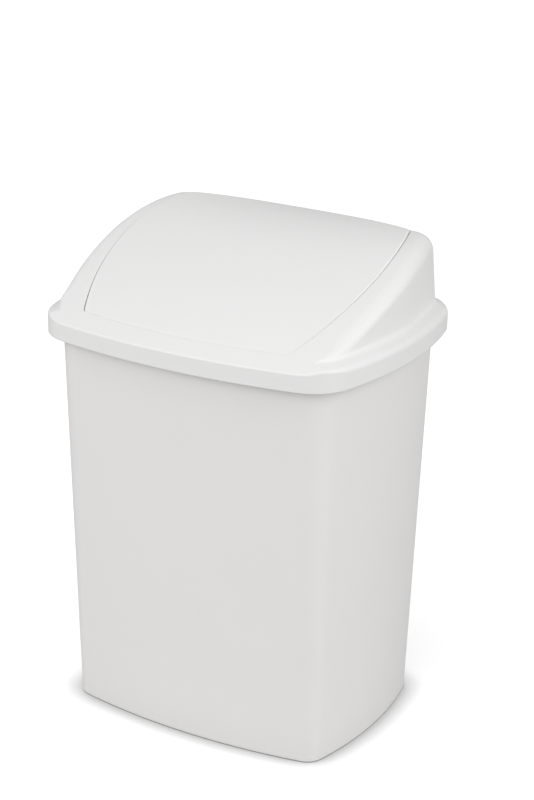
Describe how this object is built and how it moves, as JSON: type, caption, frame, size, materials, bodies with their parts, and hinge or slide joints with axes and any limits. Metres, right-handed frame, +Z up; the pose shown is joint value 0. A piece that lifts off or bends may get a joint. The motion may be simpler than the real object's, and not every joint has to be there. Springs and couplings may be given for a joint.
{
  "type": "swing-lid bin",
  "caption": "Tapered kitchen bin with a domed hood that lifts off and a sloping flap that swings inwards in the hood.",
  "frame": {"origin": "middle of the footprint, on the floor", "axes": "+Z up, the front with the low end of the flap faces -Y, X is the width"},
  "size_m": [0.34, 0.2788, 0.4726],
  "materials": {
    "body_plastic": "satin white moulded polypropylene",
    "hood_plastic": "satin white moulded polypropylene",
    "flap_plastic": "fine matt white moulded polypropylene"
  },
  "bodies": {
    "bin": {"bin_body": "body_plastic"},
    "hood": {"lid_hood": "hood_plastic"},
    "flap": {"swing_flap": "flap_plastic"}
  },
  "joints": [
    {"name": "lid_lift", "type": "slide", "parent": "bin", "child": "hood", "axis": [0, 0, 1], "range_m": [0, 0.1]},
    {"name": "flap_swing", "type": "hinge", "parent": "hood", "child": "flap", "pos_m": [0, -0.037, 0.4331], "axis": [1, 0, 0], "range_deg": [0, 55]}
  ]
}
